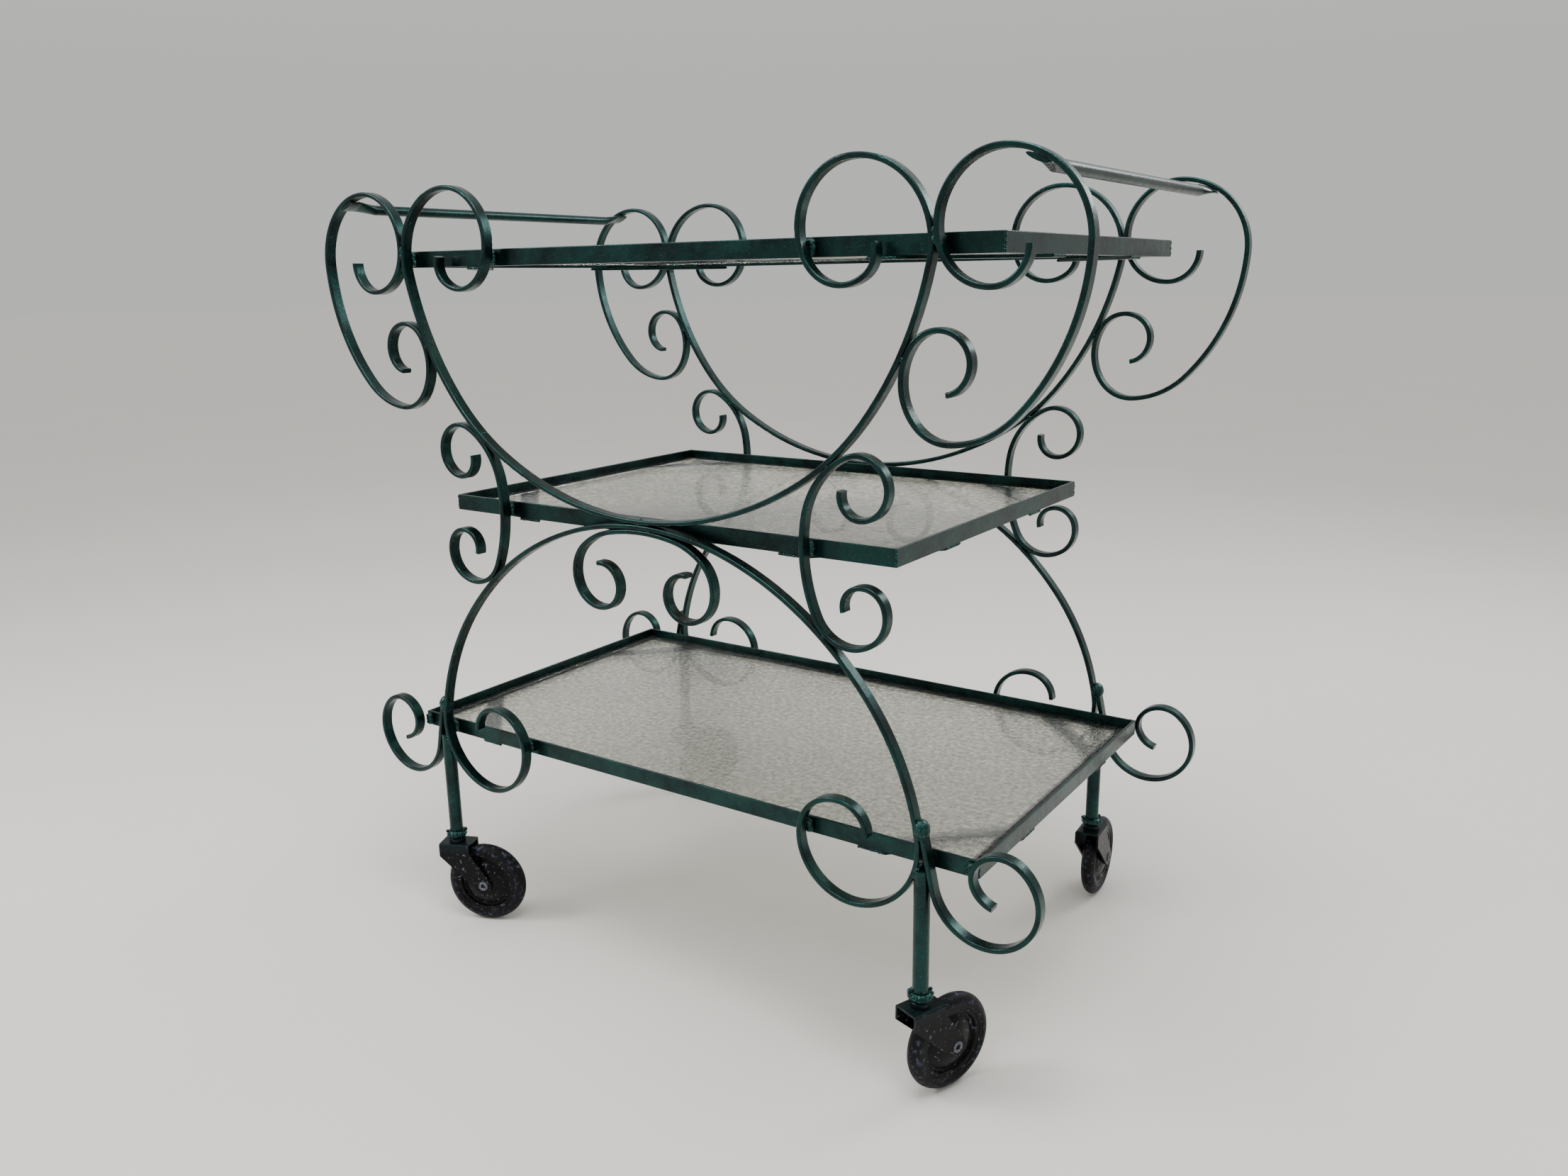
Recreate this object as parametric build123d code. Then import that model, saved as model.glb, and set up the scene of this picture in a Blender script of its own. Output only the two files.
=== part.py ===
from build123d import *
import os
from math import cos, sin, radians, sqrt

# Bar cart on wheels.  Two flat side frames of scrolled flat bar stand parallel,
# one at the front and one at the back.  Three angle-iron trays with glass panes
# hang between them, two round handle rods join their tops, and four swivel
# casters carry the legs.  Millimetres; X along the cart, Y front to back, Z up,
# the floor at Z = 0 and the middle of the cart at X = Y = 0.

# ---- driving dimensions --------------------------------------------------
DEPTH = 460.0            # over the outer faces of the two side frames
BAR_W = 12.7             # flat bar, across (front to back)
BAR_T = 5.0              # flat bar, thickness seen in the frame's own plane
BAR_ROUND = 1.7          # rounding of the long edges of the bar

LEG_X = 318.5            # leg and swivel axis, from the middle
LEG_D = 15.5             # round leg
LEG_FOOT = 108.0         # underside of the leg
LEG_TOP = 240.0          # where the leg ends between the two bars
SOCKET_D = 9.0           # bore in the leg for the caster pin
SOCKET_DEEP = 46.0
RING_OUT = 4.6           # weld ring round the foot: how far it stands out
RING_TALL = 7.2
RING_BEADS = 13
BEAD_R = 1.9
BEAD_LOW = 4.2           # height of the lowest beads above the foot
BEAD_STEP = 1.4          # and how much higher the next ones are

SHELF_HALF_Y = 211.0     # every tray is the same depth
RIM_H = 17.0             # angle iron, both legs
RIM_T = 3.0
RIM_ROUND = 0.9          # top edges of the rim
CORNER_ROUND = 1.5       # upright corners of the tray
GLASS_T = 6.0
GLASS_GAP = 1.0          # pane to rim, all round
GLASS_CORNER = 3.0
GLASS_CHAMFER = 0.6
BRACE_W = 20.0           # corner braces under the trays
BRACE_T = 3.0
BRACE_REACH = 112.0      # corner to the middle of the brace, along the edge
BRACE_INSET = 1.0        # the braces stop this far inside the rim
SPACER_W = 11.0          # welded spacers between a tray and the bars
SPACER_ROUND = 3.0
SPACER_SHORT = 4.0       # less high than the rim by this much

ROD_D = 11.0             # handle rods
ROD_X = 405.5
ROD_Z = 842.75
ROD_TILT = -24.4         # the flattened ends lie along the scroll, degrees
LUG_W = 20.0
LUG_T = 4.4
LUG_SHIFT = 3.2          # the flat end stands this much further out
LUG_LONG = 22.0          # length over which the rod is forged flat

WHEEL_R = 49.0
TYRE_IN = 38.0
TYRE_W = 17.0
TRAIL = 35.5             # swivel axis to axle
AXLE_D = 8.0
HUB_W = 22.0
FORK_W = 29.0            # over the two cheeks
FORK_T = 2.5
FORK_TOP = 101.0
FORK_FRONT = -18.0       # front and rear edges, from the swivel axis
FORK_REAR = 20.0
SHOULDER = 85.0          # the front edge turns towards the axle here
NOTCH = 90.0             # and the rear edge here
CHEEK_R = 10.5           # rounded end of each cheek round the axle
FORK_BEND = 2.8          # outside radius of the pressed bends
COLLAR_R = 9.8           # bearing collar between fork and leg
COLLAR_TALL = 4.6
PIN_FOOT_R = 6.6         # riveted foot of the king pin, under the fork
PIN_FOOT_T = 2.4
AXLE_HEAD_R = 5.8        # rolled-over ends of the axle
AXLE_HEAD_T = 1.4
AXLE_HOLE_R = 2.7        # the axle is a tube, open at its ends
BOSS_R = 8.4             # flat boss at the middle of the wheel
DISH_R = 28.0            # the dome of the disc ends here
DISH_HALF = 3.6          # half thickness at the bottom of the dish
RIM_STEP_R = 31.8        # and the rim starts here
RIM_HALF = 6.6
BEAD_RING_R = 36.3       # thin raised ring beside the tyre
BEAD_RING_HALF = 7.6
RUN = 0.05               # running clearance on a radius

# heading of each wheel about its own swivel axis, degrees from +X
CASTERS = {
    "front_left": (-1, -1, 24.0),
    "front_right": (1, -1, 69.0),
    "back_left": (-1, 1, 58.0),
    "back_right": (1, 1, 94.0),
}

# middle of the tray along X, length over the rims, height of the top of the rim
SHELVES = {
    "lower": (0.0, 738.0, 255.5),
    "middle": (0.0, 564.0, 530.7),
    "top": (19.5, 713.0, 795.4),
}

# where short welded spacers join each tray to the bars in front of it
SPACERS = {
    "lower": (190.0, 314.5, 362.0),
    "middle": (0.0, 193.5),
    "top": (197.0, 321.0),
}

# ---- the bent bars -------------------------------------------------------
# Each bar is one start point (x, z), a start heading in degrees and a run of
# tangent bends (radius, turn); a positive turn bends to the left.
BOW = ((0.0, 529.3), 0.0, [
    (365.7, 31.9), (245.5, 19.6), (319.5, 26.3), (71.1, 106.9),
    (55.0, 115.7), (40.2, 96.4), (23.1, 72.3)])
ARCH = ((0.0, 524.1), 0.0, [
    (317.7, -18.1), (336.8, -34.2), (276.9, -28.0), (73.2, -88.6),
    (58.3, -102.2), (42.4, -97.0), (30.3, -79.6)])
CENTRE_SCROLL = ((0.0, 518.9), 0.0, [
    (205.3, -11.9), (76.4, -28.8), (38.8, -64.1), (32.5, -91.3),
    (23.8, -87.2), (23.0, -86.0)])
HANDLE_SCROLL = ((402.75, 784.5), -89.1, [
    (31.4, -87.6), (46.4, -79.1), (55.6, -106.1), (72.7, -90.0),
    (193.8, -42.4), (85.9, -42.5), (41.2, -52.8), (53.4, -74.0),
    (29.9, -91.9), (26.2, -88.3), (23.7, -46.3)])
SIDE_SCROLL = ((233.6, 580.1), -101.1, [
    (20.7, 103.7), (27.5, 106.5), (30.2, 96.9), (77.5, 54.2),
    (157.7, 34.0), (40.4, 34.9), (40.8, 64.1), (30.8, 76.6),
    (22.9, 96.3), (18.9, 80.2)])
OUTER_SCROLL = ((317.4, 283.7), -77.4, [
    (53.2, 67.4), (50.6, 79.3), (44.8, 74.1), (29.4, 93.0),
    (22.6, 56.6), (26.7, 55.7)])
OUTER_STRAIGHT = 61.5    # the outer scroll starts straight, beside the leg


def normal(heading):
    """Unit vector to the left of a heading, in the plane of the frame."""
    return (-sin(radians(heading)), cos(radians(heading)))


def spine(bend, straight=0.0):
    """Middle line of a bent bar in the XZ plane, as tangent arcs."""
    (x, z), heading, bends = bend
    edges = []
    if straight > 0.0:
        ex = x + straight * cos(radians(heading))
        ez = z + straight * sin(radians(heading))
        edges.append(Line((x, 0, z), (ex, 0, ez)))
        x, z = ex, ez
    for radius, turn in bends:
        reach = radius if turn > 0.0 else -radius
        nx, nz = normal(heading)
        cx = x + reach * nx
        cz = z + reach * nz
        stops = []
        for part in (0.0, 0.5, 1.0):
            mx, mz = normal(heading + part * turn)
            stops.append((cx - reach * mx, 0, cz - reach * mz))
        edges.append(ThreePointArc(*stops))
        heading = heading + turn
        x, z = stops[2][0], stops[2][2]
    return edges


def bar(bend, straight=0.0, width=BAR_W, rounding=BAR_ROUND):
    """A bent flat bar with rounded edges, its middle line on Y = 0."""
    (x, z), heading, bends = bend
    nx, nz = normal(heading)
    along = (cos(radians(heading)), 0, sin(radians(heading)))
    here = Plane(origin=(x, 0, z), x_dir=(nx, 0, nz), z_dir=along)
    section = here * RectangleRounded(BAR_T, width, rounding)
    return sweep(section, path=Wire(spine(bend, straight)))


def both_ways(half):
    """Join a half bar to its mirror image across the middle."""
    return half + mirror(half, about=Plane.YZ)


def save(shape, name):
    export_step(shape, "parts/" + name + ".step")


def group(solids, shift=0.0):
    """One node of several solids, moved along X by shift."""
    return Compound(children=[Pos(shift, 0, 0) * solid for solid in solids])


# ---- side frames ---------------------------------------------------------
def tangent_point(px, pz, cx, cz, radius, side):
    """Where a line from (px, pz) touches a circle; side picks which of two."""
    dx = px - cx
    dz = pz - cz
    far = sqrt(dx * dx + dz * dz)
    along = radius * radius / far
    across = side * radius * sqrt(far * far - radius * radius) / far
    return (cx + (along * dx - across * dz) / far, cz + (along * dz + across * dx) / far)


def leg():
    """Round leg with its top worked to fit between the two bars."""
    body = Pos(LEG_X, 0, (LEG_FOOT + LEG_TOP) / 2) * Cylinder(LEG_D / 2, LEG_TOP - LEG_FOOT)
    body = body - bar(ARCH, 0.0, 2 * LEG_D, 0.1)
    body = body - bar(OUTER_SCROLL, OUTER_STRAIGHT, 2 * LEG_D, 0.1)
    body = body.solids().sort_by(SortBy.VOLUME)[-1]
    socket = Pos(LEG_X, 0, LEG_FOOT + SOCKET_DEEP / 2) * Cylinder(SOCKET_D / 2, SOCKET_DEEP)
    return body - socket


def foot_ring():
    """Rough weld ring round the foot of the leg."""
    inner = LEG_D / 2
    low = LEG_FOOT
    flare = RING_OUT - 1.4
    section = Polyline((inner, 0, low), (inner + flare, 0, low), (inner + RING_OUT, 0, low + 2.4),
                       (inner + flare, 0, low + 5.6), (inner + 1.2, 0, low + RING_TALL),
                       (inner, 0, low + RING_TALL), close=True)
    ring = revolve(Face(Wire(section)), Axis.Z)
    for i in range(RING_BEADS):
        turn = 360.0 * i / RING_BEADS
        lift = BEAD_LOW + BEAD_STEP * (i % 3)
        bead = Rot(0, 0, turn) * Pos(inner + flare, 0, low + lift) * Sphere(BEAD_R)
        ring = ring + bead
    core = Pos(0, 0, low + RING_TALL) * Cylinder(inner, 3 * RING_TALL)
    ring = ring - core
    return Pos(LEG_X, 0, 0) * ring


frame_bars = {
    "bow": both_ways(bar(BOW)),
    "arch": both_ways(bar(ARCH)),
    "centre_scroll": both_ways(bar(CENTRE_SCROLL)),
}
right_bars = {
    "handle_scroll": bar(HANDLE_SCROLL),
    "side_scroll": bar(SIDE_SCROLL),
    "outer_scroll": bar(OUTER_SCROLL, OUTER_STRAIGHT),
    "leg": leg(),
}
for key, shape in right_bars.items():
    frame_bars[key + "_right"] = shape
    frame_bars[key + "_left"] = mirror(shape, about=Plane.YZ)

PLACES = {"front": -(DEPTH - BAR_W) / 2, "back": (DEPTH - BAR_W) / 2}

# ---- handle rods ---------------------------------------------------------
def handle_rod():
    """Round rod whose ends are forged flat and welded inside the scrolls."""
    reach = DEPTH / 2 - 1.0
    flat_from = DEPTH / 2 - BAR_W - 3.0
    round_to = flat_from - LUG_LONG
    rod = Rot(90, 0, 0) * Cylinder(ROD_D / 2, 2 * round_to)
    start = Plane(origin=(0, round_to, 0), x_dir=(1, 0, 0), z_dir=(0, 1, 0))
    flat = Plane(origin=(0, flat_from, LUG_SHIFT), x_dir=(1, 0, 0), z_dir=(0, 1, 0))
    flat_end = flat * Ellipse(LUG_W / 2, LUG_T / 2)
    lug = loft([start * Circle(ROD_D / 2), flat_end])
    lug = lug + extrude(flat_end, amount=reach - flat_from, dir=(0, 1, 0))
    pieces = rod + lug + mirror(lug, about=Plane.XZ)
    turned = Rot(0, -ROD_TILT, 0) * pieces
    return Pos(ROD_X, 0, ROD_Z) * turned


# ---- trays ---------------------------------------------------------------
def tray(middle, length, rim_top):
    """Four lengths of angle iron, mitred into a rectangle, with the rim standing up."""
    wide = 2 * SHELF_HALF_Y
    low = rim_top - RIM_H
    body = Pos(0, 0, low + RIM_H / 2) * Box(length, wide, RIM_H)
    well = Box(length - 2 * RIM_T, wide - 2 * RIM_T, RIM_H)
    body = body - Pos(0, 0, low + RIM_T + RIM_H / 2) * well
    window = Box(length - 2 * RIM_H, wide - 2 * RIM_H, 3 * RIM_H)
    body = body - Pos(0, 0, low) * window
    corners = body.edges().filter_by(Axis.Z).sort_by(lambda e: -abs(e.center().X) - abs(e.center().Y))
    body = fillet(corners[0:4], CORNER_ROUND)
    rims = body.faces().filter_by(Axis.Z).sort_by(Axis.Z)[-1].edges()
    body = fillet(rims, RIM_ROUND)
    rails = []
    for sx, sy in ((1.0, 0.0), (-1.0, 0.0), (0.0, 1.0), (0.0, -1.0)):
        rails.append((body & mitre_wedge(sx, sy, length, rim_top)).solids()[0])
    return group(rails, middle)


def mitre_wedge(sx, sy, length, rim_top):
    """The space between two 45 degree cuts, round one side of a tray."""
    half_x = length / 2
    half_y = SHELF_HALF_Y
    inset = 3 * RIM_H
    if sx:
        outer = [(sx * half_x, -half_y), (sx * half_x, half_y)]
        inner = [(sx * (half_x - inset), half_y - inset), (sx * (half_x - inset), inset - half_y)]
    else:
        outer = [(-half_x, sy * half_y), (half_x, sy * half_y)]
        inner = [(half_x - inset, sy * (half_y - inset)), (inset - half_x, sy * (half_y - inset))]
    low = rim_top - 2 * RIM_H
    corners = [(x, y, low) for x, y in outer + inner]
    return extrude(Face(Wire(Polyline(corners, close=True))), amount=3 * RIM_H, dir=(0, 0, 1))


def pane(length, rim_top):
    """Glass pane lying on the inner ledge of the tray."""
    long_side = length - 2 * RIM_T - 2 * GLASS_GAP
    short_side = 2 * SHELF_HALF_Y - 2 * RIM_T - 2 * GLASS_GAP
    low = rim_top - RIM_H + RIM_T
    sheet = Pos(0, 0, low + GLASS_T / 2) * Box(long_side, short_side, GLASS_T)
    sheet = fillet(sheet.edges().filter_by(Axis.Z), GLASS_CORNER)
    return chamfer(sheet.faces().filter_by(Axis.Z).edges(), GLASS_CHAMFER)


def braces(middle, length, rim_top):
    """Four flat bars across the corners, welded under the tray."""
    low = rim_top - RIM_H - BRACE_T
    area = Box(length - 2 * BRACE_INSET, 2 * (SHELF_HALF_Y - BRACE_INSET), BRACE_T)
    solids = []
    for sx in (1.0, -1.0):
        for sy in (1.0, -1.0):
            mx = sx * (length / 2 - BRACE_REACH / 2)
            my = sy * (SHELF_HALF_Y - BRACE_REACH / 2)
            strip = Pos(mx, my, 0) * Rot(0, 0, -45.0 * sx * sy) * Box(2 * BRACE_REACH, BRACE_W, BRACE_T)
            piece = (area & strip).solids()[0]
            solids.append(Pos(0, 0, low + BRACE_T / 2) * piece)
    return group(solids, middle)


def spacers(places, rim_top):
    """Short welded spacers between a tray and the bars of both side frames."""
    gap = DEPTH / 2 - BAR_W - SHELF_HALF_Y
    middle = SHELF_HALF_Y + gap / 2
    tall = RIM_H - SPACER_SHORT
    block = fillet(Box(SPACER_W, gap, tall).edges().filter_by(Axis.Y), SPACER_ROUND)
    solids = []
    for x in places:
        for sx in ((1.0, -1.0) if x > 0.0 else (1.0,)):
            for sy in (1.0, -1.0):
                solids.append(Pos(sx * x, sy * middle, rim_top - RIM_H / 2) * block)
    return group(solids)


# ---- casters -------------------------------------------------------------
# Each is built with its swivel axis on Z, trailing along +X, then turned and
# moved to its leg.
def fork():
    """Pressed channel with two tapering cheeks that carry the axle."""
    ax, az = TRAIL, WHEEL_R
    lower = tangent_point(FORK_FRONT, SHOULDER, ax, az, CHEEK_R, 1.0)
    upper = tangent_point(FORK_REAR, NOTCH, ax, az, CHEEK_R, -1.0)
    outline = [(FORK_FRONT, FORK_TOP), (FORK_FRONT, SHOULDER), lower, (ax, az), upper,
               (FORK_REAR, NOTCH), (FORK_REAR, FORK_TOP)]
    half = FORK_W / 2
    cheek = Face(Wire(Polyline([(x, -half, z) for x, z in outline], close=True)))
    body = extrude(cheek, amount=FORK_W, dir=(0, 1, 0))
    body = body + Pos(ax, 0, az) * Rot(90, 0, 0) * Cylinder(CHEEK_R, FORK_W)
    top_edges = body.edges().filter_by(Axis.X).sort_by(Axis.Z)[-2:]
    body = fillet(top_edges, FORK_BEND)
    inside = FORK_W - 2 * FORK_T
    room = Box(4 * WHEEL_R, inside, 2 * (FORK_TOP - FORK_T))
    body = body - room
    pin_hole = Pos(0, 0, FORK_TOP) * Cylinder(SOCKET_D / 2, 4 * FORK_T)
    axle_hole = Pos(ax, 0, az) * Rot(90, 0, 0) * Cylinder(AXLE_D / 2 + RUN, 2 * FORK_W)
    return body - pin_hole - axle_hole


def swivel_pin():
    """King pin: a shank up into the leg, a bearing collar and a riveted foot."""
    r = SOCKET_D / 2 - RUN
    under = FORK_TOP - FORK_T
    foot = under - PIN_FOOT_T
    tip = LEG_FOOT + SOCKET_DEEP - 3.5
    outline = [(0, foot), (PIN_FOOT_R - 1.0, foot), (PIN_FOOT_R, foot + 1.0), (PIN_FOOT_R, under),
               (r, under), (r, FORK_TOP), (COLLAR_R - 0.6, FORK_TOP), (COLLAR_R, FORK_TOP + 1.0),
               (COLLAR_R, FORK_TOP + COLLAR_TALL), (COLLAR_R - 1.8, LEG_FOOT - 0.5),
               (r, LEG_FOOT - 0.5), (r, tip - 1.5), (r - 1.5, tip), (0, tip)]
    section = Face(Wire(Polyline([(x, 0, z) for x, z in outline], close=True)))
    return revolve(section, Axis.Z)


def axle():
    """Tubular rivet through both cheeks, rolled over at each end."""
    r = AXLE_D / 2
    half = FORK_W / 2
    end = half + AXLE_HEAD_T
    outline = [(0, 0), (r, 0), (r, half), (AXLE_HEAD_R, half), (AXLE_HEAD_R, half + 0.7),
               (AXLE_HEAD_R - 0.9, end), (AXLE_HOLE_R + 0.7, end), (AXLE_HOLE_R, end - 0.8),
               (AXLE_HOLE_R, half - 2.0), (0, half - 2.0)]
    section = Face(Wire(Polyline([(x, 0, z) for x, z in outline], close=True)))
    part = revolve(section, Axis.Z)
    whole = part + mirror(part, about=Plane.XY)
    return Pos(TRAIL, 0, WHEEL_R) * Rot(90, 0, 0) * whole


def spun(half_section):
    """Revolve a half section (radius, across) into a wheel part on its axle."""
    ring = revolve(half_section, Axis.Z)
    whole = ring + mirror(ring, about=Plane.XY)
    return Pos(TRAIL, 0, WHEEL_R) * Rot(90, 0, 0) * whole


def hub():
    """Dished wheel disc with a domed middle, a stepped rim and a bored boss."""
    bore = AXLE_D / 2 + RUN
    half = HUB_W / 2
    dome = (19.0, 0, 8.2)
    corners = [(DISH_R, 0, DISH_HALF), (RIM_STEP_R - 1.4, 0, DISH_HALF),
               (RIM_STEP_R, 0, RIM_HALF - 0.4), (BEAD_RING_R - 0.7, 0, RIM_HALF),
               (BEAD_RING_R, 0, BEAD_RING_HALF), (TYRE_IN, 0, BEAD_RING_HALF), (TYRE_IN, 0, 0),
               (bore, 0, 0), (bore, 0, half), (BOSS_R, 0, half)]
    edges = [ThreePointArc((BOSS_R, 0, half), dome, (DISH_R, 0, DISH_HALF))]
    for start, finish in zip(corners, corners[1:]):
        edges.append(Line(start, finish))
    return spun(Face(Wire(edges)))


def tyre():
    """Solid rubber tyre with a rounded tread."""
    half = TYRE_W / 2
    wall = WHEEL_R - 5.6
    edges = [
        Line((TYRE_IN, 0, 0), (TYRE_IN, 0, half - 0.9)),
        ThreePointArc((TYRE_IN, 0, half - 0.9), (TYRE_IN + 2.6, 0, half), (wall, 0, half - 0.8)),
        ThreePointArc((wall, 0, half - 0.8), (WHEEL_R - 1.6, 0, half - 4.1), (WHEEL_R, 0, 0)),
        Line((WHEEL_R, 0, 0), (TYRE_IN, 0, 0)),
    ]
    return spun(Face(Wire(edges)))


# ---- write every piece ---------------------------------------------------
os.makedirs("parts", exist_ok=True)

for end, y in PLACES.items():
    for key, shape in frame_bars.items():
        save(Pos(0, y, 0) * shape, end + "_" + key)

rod = handle_rod()
save(rod, "handle_rod_right")
save(mirror(rod, about=Plane.YZ), "handle_rod_left")

for key, (middle, length, rim_top) in SHELVES.items():
    save(tray(middle, length, rim_top), key + "_tray")
    save(Pos(middle, 0, 0) * pane(length, rim_top), key + "_glass")
    save(braces(middle, length, rim_top), key + "_braces")
    save(spacers(SPACERS[key], rim_top), key + "_spacers")

ring = foot_ring()
rings = []
for y in PLACES.values():
    rings.append(Pos(0, y, 0) * ring)
    rings.append(Pos(0, y, 0) * mirror(ring, about=Plane.YZ))
save(group(rings), "leg_weld_rings")

caster_parts = {"fork": fork(), "swivel_pin": swivel_pin(), "axle": axle(), "hub": hub(), "tyre": tyre()}
for place, (sx, sy, turn) in CASTERS.items():
    spot = Pos(sx * LEG_X, sy * (DEPTH - BAR_W) / 2, 0) * Rot(0, 0, turn)
    for key, shape in caster_parts.items():
        save(spot * shape, place + "_caster_" + key)
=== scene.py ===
import itertools
import math

import bmesh
import bpy
from mathutils import Matrix, Vector, noise
from mathutils.bvhtree import BVHTree


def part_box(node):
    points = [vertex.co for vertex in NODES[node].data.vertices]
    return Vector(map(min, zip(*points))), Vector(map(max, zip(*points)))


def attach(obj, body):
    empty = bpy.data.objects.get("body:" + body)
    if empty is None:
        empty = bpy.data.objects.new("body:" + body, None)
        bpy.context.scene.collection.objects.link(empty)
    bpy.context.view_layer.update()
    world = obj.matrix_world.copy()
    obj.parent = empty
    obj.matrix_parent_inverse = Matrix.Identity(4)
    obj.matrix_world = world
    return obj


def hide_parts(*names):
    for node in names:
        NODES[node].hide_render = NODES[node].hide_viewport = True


bl_info = {
    "name": "Scrolled bar cart",
    "version": (1, 0, 0),
    "blender": (4, 5, 0),
    "location": "View3D > Sidebar > Bar cart",
    "description": "Finishes, rippled panes and weld metal for a scrolled flat-bar cart",
    "category": "Object",
}

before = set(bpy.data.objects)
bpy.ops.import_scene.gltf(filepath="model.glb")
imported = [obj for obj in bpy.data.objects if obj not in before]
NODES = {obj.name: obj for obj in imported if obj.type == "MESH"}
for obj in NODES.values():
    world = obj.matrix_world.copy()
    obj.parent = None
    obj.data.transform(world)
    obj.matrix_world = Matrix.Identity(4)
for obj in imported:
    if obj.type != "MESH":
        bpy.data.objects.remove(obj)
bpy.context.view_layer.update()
MM = 0.001
ENDS = ("front", "back")
SHELVES = ("lower", "middle", "top")
CASTERS = ("front_left", "front_right", "back_left", "back_right")
X, Y, Z = Vector((1, 0, 0)), Vector((0, 1, 0)), Vector((0, 0, 1))

# sockets of a colour Mix node, and its result
SHARE, BELOW, ABOVE = 0, 6, 7
MIXED = 2

# two kinds of weld between bars: times the usual thickness, how far it stands
# proud of the bars' faces, and how uneven its skin is
NEAT = {"thick": 1.5, "proud": 0.2 * MM, "uneven": 0.6 * MM}
RAGGED = {"thick": 1.8, "proud": 0.7 * MM, "uneven": 1.1 * MM}


def linear(code):
    """An sRGB hex colour as linear red, green and blue."""
    parts = [int(code[i : i + 2], 16) / 255 for i in (1, 3, 5)]
    # a straight foot, then the curve of the sRGB scale
    return tuple(c / 12.92 if c <= 0.04045 else ((c + 0.055) / 1.055) ** 2.4 for c in parts)


def colour(name, description, code):
    return bpy.props.FloatVectorProperty(
        name=name, description=description, subtype="COLOR", size=3, min=0, max=1, default=linear(code)
    )


def length(name, description, millimetres):
    return bpy.props.FloatProperty(
        name=name, description=description, subtype="DISTANCE", unit="LENGTH", default=millimetres * MM
    )


def angle(name, description, degrees):
    return bpy.props.FloatProperty(
        name=name, description=description, subtype="ANGLE", unit="ROTATION", default=math.radians(degrees)
    )


class CartFinishes(bpy.types.PropertyGroup):
    """Colours of the paint, glass and casters, and the sizes of their patterns"""

    enamel: colour("Enamel", "Body of the metallic green enamel", "#123431")
    enamel_dark: colour("Enamel, thin", "Where the coat lies thin or dirty", "#0a1b1c")
    enamel_flake: colour("Flake", "Lighter flakes and rubbed spots in the enamel", "#437f7c")
    dapple: length("Dapple", "Distance between the dimples of the hammered coat", 2.6)
    # the crest colour is the panes' own pale grey-green tint with a painted highlight; the trough colour is
    # painted shade in the ripples
    glass: colour("Glass", "Crests of the rippled panes", "#e8e6d4")
    glass_trough_painted_shade: colour("Glass, trough", "Troughs of the ripples, where the glass looks darker", "#6d7163")
    ripple: length("Ripple", "Width of one ripple in the rolled glass", 5.6)
    rubber: colour("Rubber", "Tyres", "#07070a")
    rubber_scuff: colour("Scuffed rubber", "Dusty rubbed tread", "#454a60")
    caster_black: colour("Caster black", "Forks and discs of the casters", "#060609")
    caster_worn: colour("Worn steel", "Bare edges of forks and rivets", "#70747e")


class CartPanes(bpy.types.PropertyGroup):
    """Shape of the rippled panes"""

    lower: length("Lower ripple", "Height of the ripples in the lower pane", 0.55)
    middle: length("Middle ripple", "Height of the ripples in the middle pane", 0.22)
    top: length("Top ripple", "Height of the ripples in the top pane", 0.22)
    cell: length("Cell", "Spacing of the mesh that carries the ripples", 2.1)
    chamfer: length("Chamfer", "Ground edges of the glass", 0.6)


class CartWelds(bpy.types.PropertyGroup):
    """Sizes of the weld metal"""

    near: length("Contact", "Bars nearer than this are welded", 0.7)
    thick: length("Thickness", "Half thickness of a weld lump across the joint", 2.3)
    long: length("Length", "Half length of a weld lump along the joint", 5.5)
    bead: length("Bead", "Radius of the beads along the trays", 1.7)
    grain: length("Grain", "Width of the unevenness in the weld metal", 2.2)
    hump_x: length("Hump X", "Middle of the hump over the end of an outer scroll", 317.2)
    hump_z: length("Hump Z", "Height of that hump", 279.0)
    hump_lean: angle("Hump lean", "Lean of the hump from upright", 12.0)
    hump_long: length("Hump length", "Half length of the hump", 9.5)
    hump_wide: length("Hump width", "Half width of the hump over both bars", 7.4)
    hump_proud: length("Hump, proud", "How far the hump stands out from the bars' faces", 2.4)


class CartStage(bpy.types.PropertyGroup):
    """Camera, floor and light"""

    camera_x: length("Camera X", "Place of the camera", 781.59)
    camera_y: length("Camera Y", "Place of the camera", -1117.55)
    camera_z: length("Camera Z", "Place of the camera", 759.65)
    yaw: angle("Yaw", "Turn of the view from straight along +Y", -34.35)
    pitch: angle("Pitch", "Tilt of the view above level", -14.29)
    roll: angle("Roll", "Lean of the view", -0.80)
    lens: bpy.props.FloatProperty(
        name="Lens", description="Focal length for a 36 mm sensor", subtype="DISTANCE_CAMERA", default=27.73
    )
    floor: colour("Floor", "Plain pale floor", "#dad8d3")
    sky: colour("Sky", "Pale light from all round", "#f1f1ef")


# ---- meshes ---------------------------------------------------------------
def finished(name, bm, material):
    """Makes a bmesh into a smooth piece of the frame, at the origin."""
    mesh = bpy.data.meshes.new(name)
    bm.to_mesh(mesh)
    bm.free()
    mesh.materials.append(material)
    mesh.shade_smooth()
    piece = bpy.data.objects.new(name, mesh)
    bpy.context.scene.collection.objects.link(piece)
    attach(piece, "frame")
    return piece


def coat(names, material):
    """Gives CAD nodes a material."""
    for name in names:
        materials = NODES[name].data.materials
        materials.clear()
        materials.append(material)


def lump(bm, at, axes, half_sizes, uneven, rings=3):
    """One lump of weld metal: a ball drawn out along three axes, its skin uneven."""
    verts = bmesh.ops.create_icosphere(bm, subdivisions=rings, radius=1.0)["verts"]
    shape = Matrix([axis * half for axis, half in zip(axes, half_sizes)]).transposed().to_4x4()
    bmesh.ops.transform(bm, matrix=Matrix.Translation(at) @ shape, verts=verts)
    grain = bpy.context.scene.cart_welds.grain
    for vert in verts:
        vert.co += noise.noise_vector(vert.co / grain) * uneven


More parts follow.
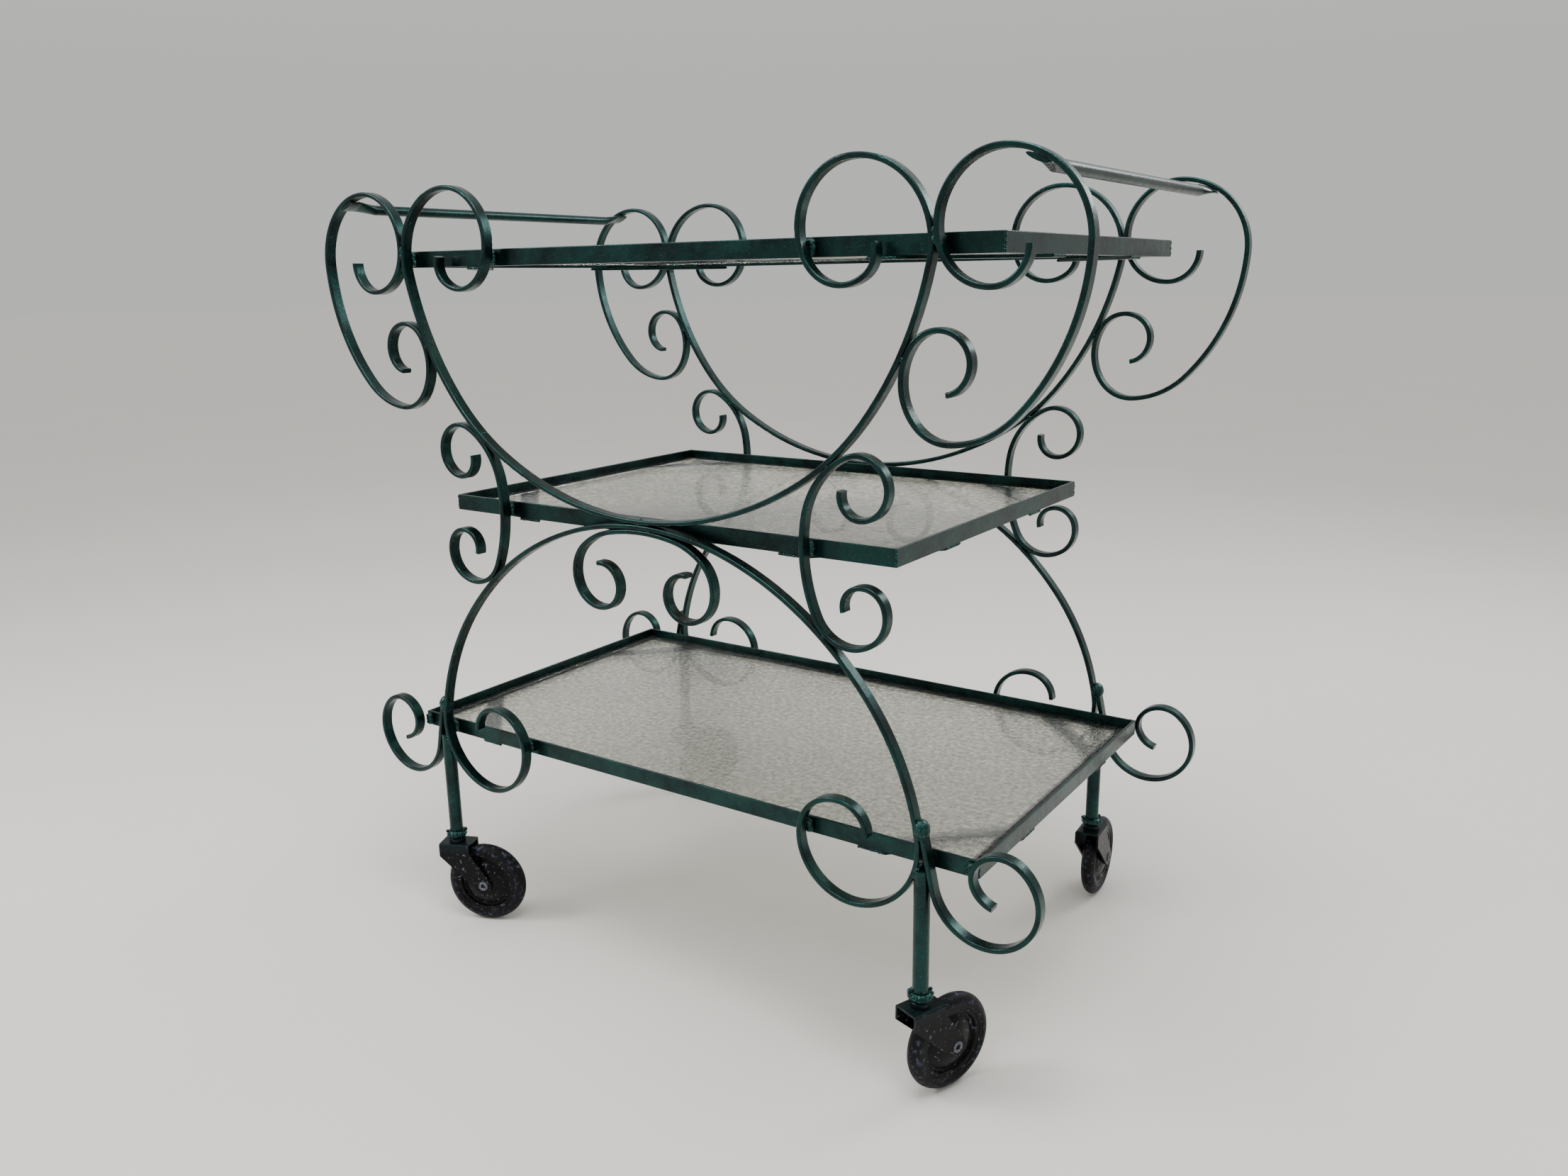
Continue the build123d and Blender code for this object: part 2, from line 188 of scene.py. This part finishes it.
def bead(bm, start, finish, radius):
    """A run of overlapping weld scales from start to finish, wandering and changing size a little."""
    start, finish = Vector(start), Vector(finish)
    run = finish - start
    along = run.normalized()
    side = along.orthogonal().normalized()
    axes = (along, side, along.cross(side))
    spacing = 1.1 * radius
    flatness = 0.75
    steps = max(2, round(run.length / spacing))
    for i in range(steps + 1):
        wander = noise.noise(start * 300 + along * i) * 0.35 * radius
        size = radius * (1 + 0.25 * noise.noise(along * i * 1.7 + start * 90))
        centre = start + run * (i / steps) + side * wander
        lump(bm, centre, axes, (size, size, size * flatness), 0.25 * radius, rings=2)


def islands(node):
    """Boxes of the separate solids in a CAD node, as (low, high)."""
    bm = bmesh.new()
    bm.from_mesh(NODES[node].data)
    touching = 0.001 * MM
    bmesh.ops.remove_doubles(bm, verts=bm.verts, dist=touching)
    left = set(bm.verts)
    boxes = []
    while left:
        stack = [left.pop()]
        found = []
        while stack:
            vert = stack.pop()
            found.append(vert.co.copy())
            for edge in vert.link_edges:
                other = edge.other_vert(vert)
                if other in left:
                    left.remove(other)
                    stack.append(other)
        low = Vector(min(co[i] for co in found) for i in range(3))
        high = Vector(max(co[i] for co in found) for i in range(3))
        boxes.append((low, high))
    bm.free()
    return sorted(boxes, key=lambda box: tuple(round(c, 4) for c in box[0]))


def surface(node):
    """A CAD node's triangles, to look up the nearest point on it."""
    mesh = NODES[node].data
    mesh.calc_loop_triangles()
    return BVHTree.FromPolygons([v.co for v in mesh.vertices], [t.vertices for t in mesh.loop_triangles])


def contacts(node, other_surface, near):
    """Stretches where a bar lies against another one, each as its two ends in the frame's plane."""
    same_weld = 12 * MM
    close = []
    for vert in NODES[node].data.vertices:
        if other_surface.find_nearest(vert.co, near)[0] is not None:
            close.append(vert.co)
    groups = []
    for co in close:
        joined = [g for g in groups if any((co - other).length < same_weld for other in g)]
        fresh = [co] + [c for g in joined for c in g]
        groups = [g for g in groups if g not in joined] + [fresh]
    stretches = []
    for group in groups:
        flat = [Vector((co.x, 0, co.z)) for co in group]
        middle = sum(flat, Vector()) / len(flat)
        first = max(flat, key=lambda co: (co - middle).length)
        last = max(flat, key=lambda co: (co - first).length)
        stretches.append((first, last))
    return stretches


# ---- materials ------------------------------------------------------------
def add(material, kind, values=None, links=None, **settings):
    """Adds one node with its settings, the values of its inputs and the links into them."""
    tree = material.node_tree
    node = tree.nodes.new(kind)
    for key, value in settings.items():
        setattr(node, key, value)
    for key, value in (values or {}).items():
        node.inputs[key].default_value = value
    for key, (source, output) in (links or {}).items():
        tree.links.new(source.outputs[output], node.inputs[key])
    return node


def blank(name):
    """A node material with nothing in it but the object's own coordinates."""
    material = bpy.data.materials.new(name)
    material.use_nodes = True
    material.node_tree.nodes.clear()
    return material, add(material, "ShaderNodeTexCoord")


def per_metre(size):
    """Scale of a noise whose features are this size, in metres."""
    return 1 / size


def speckle(material, place, size, low, high, detail=4.0):
    """A noise of a real feature size, stretched between two levels."""
    source = add(
        material,
        "ShaderNodeTexNoise",
        {"Scale": per_metre(size), "Detail": detail, "Roughness": 0.6},
        {"Vector": (place, "Object")},
    )
    levels = {"From Min": low, "From Max": high}
    return add(material, "ShaderNodeMapRange", levels, {"Value": (source, "Fac")})


def hammered_enamel(settings, name, relief, sparkle):
    """Hammer-finish enamel: metallic green paint, sprayed on rough bar.

    Dimples break the highlight up, the coat darkens where it is thin, and lighter
    flakes sparkle where it is rubbed: more of them, over deeper relief, on weld metal.
    """
    material, place = blank(name)
    thin = speckle(material, place, 38 * MM, low=0.40, high=0.66)
    body = add(
        material,
        "ShaderNodeMix",
        {BELOW: (*settings.enamel, 1), ABOVE: (*settings.enamel_dark, 1)},
        {SHARE: (thin, 0)},
        data_type="RGBA",
    )
    flake = speckle(material, place, 1.1 * MM, low=sparkle, high=sparkle + 0.09, detail=2.0)
    tinted = add(
        material,
        "ShaderNodeMix",
        {ABOVE: (*settings.enamel_flake, 1)},
        {SHARE: (flake, 0), BELOW: (body, MIXED)},
        data_type="RGBA",
    )
    gloss = speckle(material, place, 9 * MM, low=0.3, high=0.7)
    rough = add(material, "ShaderNodeMapRange", {"To Min": 0.24, "To Max": 0.38}, {"Value": (gloss, 0)})
    dimples = speckle(material, place, settings.dapple, low=0.3, high=0.7, detail=3.0)
    bump = add(material, "ShaderNodeBump", {"Strength": 0.8, "Distance": relief}, {"Height": (dimples, 0)})
    shader = add(
        material,
        "ShaderNodeBsdfPrincipled",
        {"Metallic": 0.85, "Coat Weight": 0.08, "Coat Roughness": 0.18},
        {"Base Color": (tinted, MIXED), "Roughness": (rough, 0), "Normal": (bump, 0)},
    )
    add(material, "ShaderNodeOutputMaterial", links={"Surface": (shader, 0)})
    return material


def rippled_glass(settings, name, relief):
    """Rolled sheet glass, faintly grey-green: one face is rippled, so what lies below breaks up. The colour
    carries a painted highlight on the ripple crests and painted shade in the troughs.
    """
    material, place = blank(name)
    dust = speckle(material, place, 60 * MM, low=0.45, high=0.8)
    dusty = add(material, "ShaderNodeMapRange", {"To Min": 0.03, "To Max": 0.14}, {"Value": (dust, 0)})
    ripple = speckle(material, place, settings.ripple, low=0.38, high=0.60, detail=2.0)
    # painted light and shade: the glass's own tint is lightened on the ripple crests and darkened in the
    # troughs, following the ripple pattern
    tinted = add(
        material,
        "ShaderNodeMix",
        {BELOW: (*settings.glass_trough_painted_shade, 1), ABOVE: (*settings.glass, 1)},
        {SHARE: (ripple, 0)},
        data_type="RGBA",
    )
    bump = add(material, "ShaderNodeBump", {"Strength": 1.0, "Distance": relief}, {"Height": (ripple, 0)})
    shader = add(
        material,
        "ShaderNodeBsdfPrincipled",
        {"Transmission Weight": 1.0, "IOR": 1.5, "Alpha": 0.72},
        {"Base Color": (tinted, MIXED), "Roughness": (dusty, 0), "Normal": (bump, 0)},
    )
    add(material, "ShaderNodeOutputMaterial", links={"Surface": (shader, 0)})
    return material


def scuffed_rubber(settings):
    """Solid moulded rubber: black and dull, with bluish dust and scuffs worn into the tread."""
    material, place = blank("scuffed_black_rubber")
    scuff = speckle(material, place, 5 * MM, low=0.54, high=0.70, detail=8.0)
    tinted = add(
        material,
        "ShaderNodeMix",
        {BELOW: (*settings.rubber, 1), ABOVE: (*settings.rubber_scuff, 1)},
        {SHARE: (scuff, 0)},
        data_type="RGBA",
    )
    grain = speckle(material, place, 1.6 * MM, low=0.3, high=0.7, detail=6.0)
    bump = add(material, "ShaderNodeBump", {"Strength": 0.7, "Distance": 0.15 * MM}, {"Height": (grain, 0)})
    shader = add(
        material,
        "ShaderNodeBsdfPrincipled",
        {"Roughness": 0.5, "Specular IOR Level": 0.16},
        {"Base Color": (tinted, MIXED), "Normal": (bump, 0)},
    )
    add(material, "ShaderNodeOutputMaterial", links={"Surface": (shader, 0)})
    return material


def caster_black(settings, oversprayed):
    """Pressed steel under worn black lacquer, scratched; the forks caught some green overspray."""
    material, place = blank("oversprayed_fork_steel" if oversprayed else "black_lacquered_disc")
    worn = speckle(material, place, 3.6 * MM, low=0.60, high=0.70, detail=8.0)
    tinted = add(
        material,
        "ShaderNodeMix",
        {BELOW: (*settings.caster_black, 1), ABOVE: (*settings.caster_worn, 1)},
        {SHARE: (worn, 0)},
        data_type="RGBA",
    )
    if oversprayed:
        split = add(material, "ShaderNodeSeparateXYZ", links={"Vector": (place, "Object")})
        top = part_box("front_right_caster_fork")[1].z
        height = add(
            material,
            "ShaderNodeMapRange",
            {"From Min": top - 14 * MM, "From Max": top - 2 * MM, "To Max": 0.75},
            {"Value": (split, "Z")},
        )
        tinted = add(
            material,
            "ShaderNodeMix",
            {ABOVE: (*settings.enamel_dark, 1)},
            {SHARE: (height, 0), BELOW: (tinted, MIXED)},
            data_type="RGBA",
        )
    dents = speckle(material, place, 2.4 * MM, low=0.3, high=0.7, detail=5.0)
    bump = add(material, "ShaderNodeBump", {"Strength": 0.7, "Distance": 0.10 * MM}, {"Height": (dents, 0)})
    shader = add(
        material,
        "ShaderNodeBsdfPrincipled",
        {"Roughness": 0.32, "Specular IOR Level": 0.13},
        {"Base Color": (tinted, MIXED), "Normal": (bump, 0)},
    )
    add(material, "ShaderNodeOutputMaterial", links={"Surface": (shader, 0)})
    return material


def worn_steel(settings):
    """Bare rolled rivet steel, dulled and dark in its pits."""
    material, place = blank("worn_rivet_steel")
    pits = speckle(material, place, 1.5 * MM, low=0.45, high=0.65, detail=6.0)
    tinted = add(
        material,
        "ShaderNodeMix",
        {BELOW: (*settings.caster_worn, 1), ABOVE: (*settings.caster_black, 1)},
        {SHARE: (pits, 0)},
        data_type="RGBA",
    )
    shader = add(
        material,
        "ShaderNodeBsdfPrincipled",
        {"Metallic": 0.8, "Roughness": 0.45},
        {"Base Color": (tinted, MIXED)},
    )
    add(material, "ShaderNodeOutputMaterial", links={"Surface": (shader, 0)})
    return material


def studio_floor(stage):
    """Matt painted floor, pale and almost even."""
    material, place = blank("pale_studio_floor")
    cloud = speckle(material, place, 0.5, low=0.3, high=0.7)
    tinted = add(
        material,
        "ShaderNodeMix",
        {BELOW: (*stage.floor, 1), ABOVE: (*(c * 0.97 for c in stage.floor), 1)},
        {SHARE: (cloud, 0)},
        data_type="RGBA",
    )
    shader = add(material, "ShaderNodeBsdfPrincipled", {"Roughness": 0.8}, {"Base Color": (tinted, MIXED)})
    add(material, "ShaderNodeOutputMaterial", links={"Surface": (shader, 0)})
    return material


# ---- the operators, one for each group of pieces --------------------------
class CART_OT_enamel(bpy.types.Operator):
    """Coat every bar, leg, tray, rod and brace with the hammered green enamel"""

    bl_idname = "cart.enamel"
    bl_label = "Green enamel"

    def execute(self, context):
        settings = context.scene.cart_finishes
        enamel = hammered_enamel(settings, "hammered_green_enamel", 0.10 * MM, 0.66)
        welded = hammered_enamel(settings, "enamelled_weld_metal", 0.35 * MM, 0.58)
        coat([n for n in NODES if "caster" not in n and "glass" not in n], enamel)
        coat(["leg_weld_rings"], welded)
        return {"FINISHED"}


def rippled_sheet(low, high, height, panes, ripple):
    """A glass sheet filling a box, its upper face rippled down from the top and its edges ground."""
    size = high - low
    middle = (low + high) / 2
    chamfer = panes.chamfer
    cells = (round(size.x / panes.cell), round(size.y / panes.cell))
    bm = bmesh.new()
    bmesh.ops.create_grid(bm, x_segments=cells[0], y_segments=cells[1], size=0.5)
    bmesh.ops.scale(bm, vec=(size.x - 2 * chamfer, size.y - 2 * chamfer, 1), verts=bm.verts)
    bmesh.ops.translate(bm, vec=(middle.x, middle.y, high.z), verts=bm.verts)
    for vert in bm.verts:
        vert.co.z -= height * (1 + noise.noise(vert.co / ripple))
    rim = [e for e in bm.edges if e.is_boundary]
    for step, grow in ((chamfer, 1), (size.z - 2 * chamfer, 0), (chamfer, -1)):
        made = bmesh.ops.extrude_edge_only(bm, edges=rim)["geom"]
        verts = [g for g in made if isinstance(g, bmesh.types.BMVert)]
        rim = [g for g in made if isinstance(g, bmesh.types.BMEdge) and g.is_boundary]
        spread = (1 + grow * 2 * chamfer / size.x, 1 + grow * 2 * chamfer / size.y, 1)
        bmesh.ops.scale(bm, vec=spread, verts=verts, space=Matrix.Translation(-middle))
        bmesh.ops.translate(bm, vec=(0, 0, -step), verts=verts)
    for vert in {v for e in rim for v in e.verts}:
        vert.co.z = low.z
    bmesh.ops.holes_fill(bm, edges=rim, sides=0)
    bmesh.ops.recalc_face_normals(bm, faces=bm.faces)
    return bm


class CART_OT_panes(bpy.types.Operator):
    """Lay a rippled glass pane in each tray in place of the plain one"""

    bl_idname = "cart.panes"
    bl_label = "Glass panes"

    def execute(self, context):
        settings = context.scene.cart_finishes
        panes = context.scene.cart_panes
        for shelf in SHELVES:
            height = getattr(panes, shelf)
            low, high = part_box(shelf + "_glass")
            bm = rippled_sheet(low, high, height, panes, settings.ripple)
            material = rippled_glass(settings, shelf + "_rippled_glass", height)
            pane = finished(shelf + "_rippled_pane", bm, material)
            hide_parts(shelf + "_glass")
        return {"FINISHED"}


def weld_stretch(bm, first, last, plane, half, kind, welds):
    """Weld metal along one stretch where two bars lie together."""
    run = last - first
    along = run.normalized()
    axes = (along, along.cross(Y), Y)
    sizes = (welds.long, welds.thick * kind["thick"], half + kind["proud"])
    steps = max(1, round(run.length / welds.long)) if kind is RAGGED else 1
    for k in range(steps + 1):
        spot = first + run * (k / steps)
        lump(bm, Vector((spot.x, plane, spot.z)), axes, sizes, kind["uneven"])


def weld_hump(bm, turn, plane, half, welds):
    """The smooth hump over the end of an outer scroll; turn is 1 on the right, -1 on the left."""
    at = Vector((turn * welds.hump_x, plane, welds.hump_z))
    along = Vector((turn * math.sin(welds.hump_lean), 0, -math.cos(welds.hump_lean)))
    sizes = (welds.hump_long, welds.hump_wide, half + welds.hump_proud)
    lump(bm, at, (along, along.cross(Y), Y), sizes, 0.5 * MM)


class CART_OT_frame_welds(bpy.types.Operator):
    """Fill the grooves beside every place where two bars of a side frame lie together"""

    bl_idname = "cart.frame_welds"
    bl_label = "Frame welds"

    def execute(self, context):
        welds = context.scene.cart_welds
        material = bpy.data.materials["enamelled_weld_metal"]
        bars = ["bow", "arch", "centre_scroll"]
        for side in ("left", "right"):
            bars += [f"{key}_{side}" for key in ("handle_scroll", "side_scroll", "outer_scroll", "leg")]
        for end in ENDS:
            low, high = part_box(end + "_bow")
            plane = (low.y + high.y) / 2
            half = (high.y - low.y) / 2
            shells = {bar: surface(f"{end}_{bar}") for bar in bars}
            bm = bmesh.new()
            for bar, other in itertools.combinations(bars, 2):
                kind = RAGGED if "outer_scroll" in other or "leg" in other else NEAT
                for first, last in contacts(f"{end}_{bar}", shells[other], welds.near):
                    weld_stretch(bm, first, last, plane, half, kind, welds)
            for turn in (-1, 1):
                weld_hump(bm, turn, plane, half, welds)
            finished(end + "_frame_welds", bm, material)
        return {"FINISHED"}


def tack_blob(bm, low, high):
    """Three lumps, one above another, in the box of a spacer between tray and bar."""
    middle = (low + high) / 2
    half = (high - low) / 2
    apart = 0.55
    into_bars = 0.5 * MM
    sizes = (half.x * 0.95, half.y + into_bars, half.z * apart)
    for lift in (-apart, 0.0, apart):
        sway = noise.noise(middle * 90 + X * lift) * 2 * MM
        lump(bm, middle + X * sway + Z * half.z * lift, (X, Y, Z), sizes, 0.7 * MM)


def corner_beads(bm, low, high, radius):
    """A bead up the mitre at each corner of a tray."""
    inset = 0.9 * MM
    foot = low.z + 1.2 * MM
    head = high.z - 1.5 * MM
    for x in (low.x + inset, high.x - inset):
        for y in (low.y + inset, high.y - inset):
            bead(bm, (x, y, foot), (x, y, head), radius)


def brace_beads(bm, low, high, centre_x, radius):
    """Beads where one brace meets the two rails beside its corner; low and high are its box."""
    middle = (low + high) / 2
    wide = 26 * MM
    z = high.z - 1.4 * MM
    out_x = math.copysign(wide, middle.x - centre_x)
    out_y = math.copysign(wide, middle.y)
    inner_x, edge_x = (high.x, low.x) if out_x < 0 else (low.x, high.x)
    inner_y, edge_y = (high.y, low.y) if out_y < 0 else (low.y, high.y)
    bead(bm, (inner_x, edge_y, z), (inner_x + out_x, edge_y, z), radius)
    bead(bm, (edge_x, inner_y, z), (edge_x, inner_y + out_y, z), radius)


class CART_OT_tray_welds(bpy.types.Operator):
    """Weld each tray: blobs to the side frames, beads up the corners and at the brace ends"""

    bl_idname = "cart.tray_welds"
    bl_label = "Tray welds"

    def execute(self, context):
        welds = context.scene.cart_welds
        material = bpy.data.materials["enamelled_weld_metal"]
        for shelf in SHELVES:
            bm = bmesh.new()
            for low, high in islands(shelf + "_spacers"):
                tack_blob(bm, low, high)
            blobs = finished(shelf + "_tack_blobs", bm, material)
            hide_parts(shelf + "_spacers")

            bm = bmesh.new()
            tray_low, tray_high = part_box(shelf + "_tray")
            corner_beads(bm, tray_low, tray_high, welds.bead * 0.8)
            centre_x = (tray_low.x + tray_high.x) / 2
            for low, high in islands(shelf + "_braces"):
                brace_beads(bm, low, high, centre_x, welds.bead)
            finished(shelf + "_tray_welds", bm, material)
        return {"FINISHED"}


class CART_OT_rod_welds(bpy.types.Operator):
    """Weld the flattened ends of the handle rods into the scrolls"""

    bl_idname = "cart.rod_welds"
    bl_label = "Handle rod welds"

    def execute(self, context):
        welds = context.scene.cart_welds
        material = bpy.data.materials["enamelled_weld_metal"]
        near_rod = 1.6 * MM
        cut_back = 0.08
        bm = bmesh.new()
        for side in ("left", "right"):
            for end in ENDS:
                scroll = f"{end}_handle_scroll_{side}"
                low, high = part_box(scroll)
                inner = high.y if end == "front" else low.y
                for first, last in contacts(f"handle_rod_{side}", surface(scroll), near_rod):
                    trim = (last - first) * cut_back
                    ends = (first + trim, last - trim)
                    bead(bm, *((spot.x, inner, spot.z) for spot in ends), welds.bead)
        finished("handle_rod_welds", bm, material)
        return {"FINISHED"}


class CART_OT_casters(bpy.types.Operator):
    """Finish the casters: rubber tyres, lacquered discs, oversprayed forks and worn rivets"""

    bl_idname = "cart.casters"
    bl_label = "Casters"

    def execute(self, context):
        settings = context.scene.cart_finishes
        finishes = {
            "tyre": scuffed_rubber(settings),
            "hub": caster_black(settings, False),
            "fork": caster_black(settings, True),
            "swivel_pin": bpy.data.materials["oversprayed_fork_steel"],
            "axle": worn_steel(settings),
        }
        for part, material in finishes.items():
            coat([f"{caster}_caster_{part}" for caster in CASTERS], material)
        return {"FINISHED"}


def lay_floor(stage):
    """A plain floor so wide that its far edge lies at the horizon."""
    half_size = 40
    bm = bmesh.new()
    bmesh.ops.create_grid(bm, x_segments=1, y_segments=1, size=half_size)
    mesh = bpy.data.meshes.new("floor")
    bm.to_mesh(mesh)
    bm.free()
    mesh.materials.append(studio_floor(stage))
    floor = bpy.data.objects.new("floor", mesh)
    bpy.context.scene.collection.objects.link(floor)


def soft_sky(stage):
    """Pale light from all round, brighter overhead than at the horizon."""
    world = bpy.data.worlds.new("soft_sky")
    world.use_nodes = True
    place = add(world, "ShaderNodeTexCoord")
    upward = add(world, "ShaderNodeSeparateXYZ", links={"Vector": (place, "Generated")})
    brightness = add(
        world,
        "ShaderNodeMapRange",
        {"From Min": 0.15, "From Max": 0.9, "To Min": 0.68, "To Max": 1.15},
        {"Value": (upward, "Z")},
    )
    background = world.node_tree.nodes["Background"]
    background.inputs["Color"].default_value = (*stage.sky, 1)
    world.node_tree.links.new(brightness.outputs[0], background.inputs["Strength"])
    bpy.context.scene.world = world


def hang_lamp(name, spot, size, power):
    """A square soft lamp, aimed at the middle of the cart; metres and watts."""
    middle = Vector((0, 0, 0.45))
    lamp = bpy.data.lights.new(name, "AREA")
    lamp.size = size
    lamp.energy = power
    holder = bpy.data.objects.new(name, lamp)
    holder.location = spot
    aim = middle - Vector(spot)
    holder.rotation_euler = aim.to_track_quat("-Z", "Y").to_euler()
    bpy.context.scene.collection.objects.link(holder)


def place_camera(stage):
    """The camera, from its place, its turn and tilt, and its lean about the view."""
    camera = bpy.data.cameras.new("camera")
    camera.lens = stage.lens
    camera.sensor_width = 36
    camera.clip_start = 0.01
    flat = math.cos(stage.pitch)
    ahead = Vector((math.sin(stage.yaw) * flat, math.cos(stage.yaw) * flat, math.sin(stage.pitch)))
    level = Vector((math.cos(stage.yaw), -math.sin(stage.yaw), 0))
    upright = level.cross(ahead)
    right = level * math.cos(stage.roll) + upright * math.sin(stage.roll)
    up = upright * math.cos(stage.roll) - level * math.sin(stage.roll)
    turn = Matrix((right, up, -ahead)).transposed().to_4x4()
    spot = Vector((stage.camera_x, stage.camera_y, stage.camera_z))
    holder = bpy.data.objects.new("camera", camera)
    holder.matrix_world = Matrix.Translation(spot) @ turn
    bpy.context.scene.collection.objects.link(holder)
    bpy.context.scene.camera = holder


class CART_OT_stage(bpy.types.Operator):
    """Set the pale floor, the soft lights and the camera"""

    bl_idname = "cart.stage"
    bl_label = "Stage"

    def execute(self, context):
        stage = context.scene.cart_stage
        lay_floor(stage)
        soft_sky(stage)
        hang_lamp("overhead", (0.3, -0.5, 2.3), size=1.1, power=40)
        hang_lamp("window", (-1.6, -1.5, 1.9), size=0.8, power=34)
        hang_lamp("back", (1.2, 1.9, 1.9), size=0.9, power=26)
        place_camera(stage)
        return {"FINISHED"}


OPERATORS = (
    CART_OT_enamel,
    CART_OT_panes,
    CART_OT_frame_welds,
    CART_OT_tray_welds,
    CART_OT_rod_welds,
    CART_OT_casters,
    CART_OT_stage,
)


class CART_PT_panel(bpy.types.Panel):
    """Lists the cart's groups of pieces"""

    bl_idname = "CART_PT_panel"
    bl_label = "Bar cart"
    bl_space_type = "VIEW_3D"
    bl_region_type = "UI"
    bl_category = "Bar cart"

    def draw(self, context):
        for operator in OPERATORS:
            self.layout.operator(operator.bl_idname)


GROUPS = {
    "cart_finishes": CartFinishes,
    "cart_panes": CartPanes,
    "cart_welds": CartWelds,
    "cart_stage": CartStage,
}
CLASSES = (*GROUPS.values(), *OPERATORS, CART_PT_panel)


def register():
    for cls in CLASSES:
        bpy.utils.register_class(cls)
    for name, group in GROUPS.items():
        setattr(bpy.types.Scene, name, bpy.props.PointerProperty(type=group))


def unregister():
    for name in GROUPS:
        delattr(bpy.types.Scene, name)
    for cls in reversed(CLASSES):
        bpy.utils.unregister_class(cls)


def main():
    register()
    bpy.ops.cart.enamel()
    bpy.ops.cart.panes()
    bpy.ops.cart.frame_welds()
    bpy.ops.cart.tray_welds()
    bpy.ops.cart.rod_welds()
    bpy.ops.cart.casters()
    bpy.ops.cart.stage()


if __name__ == "__main__":
    main()
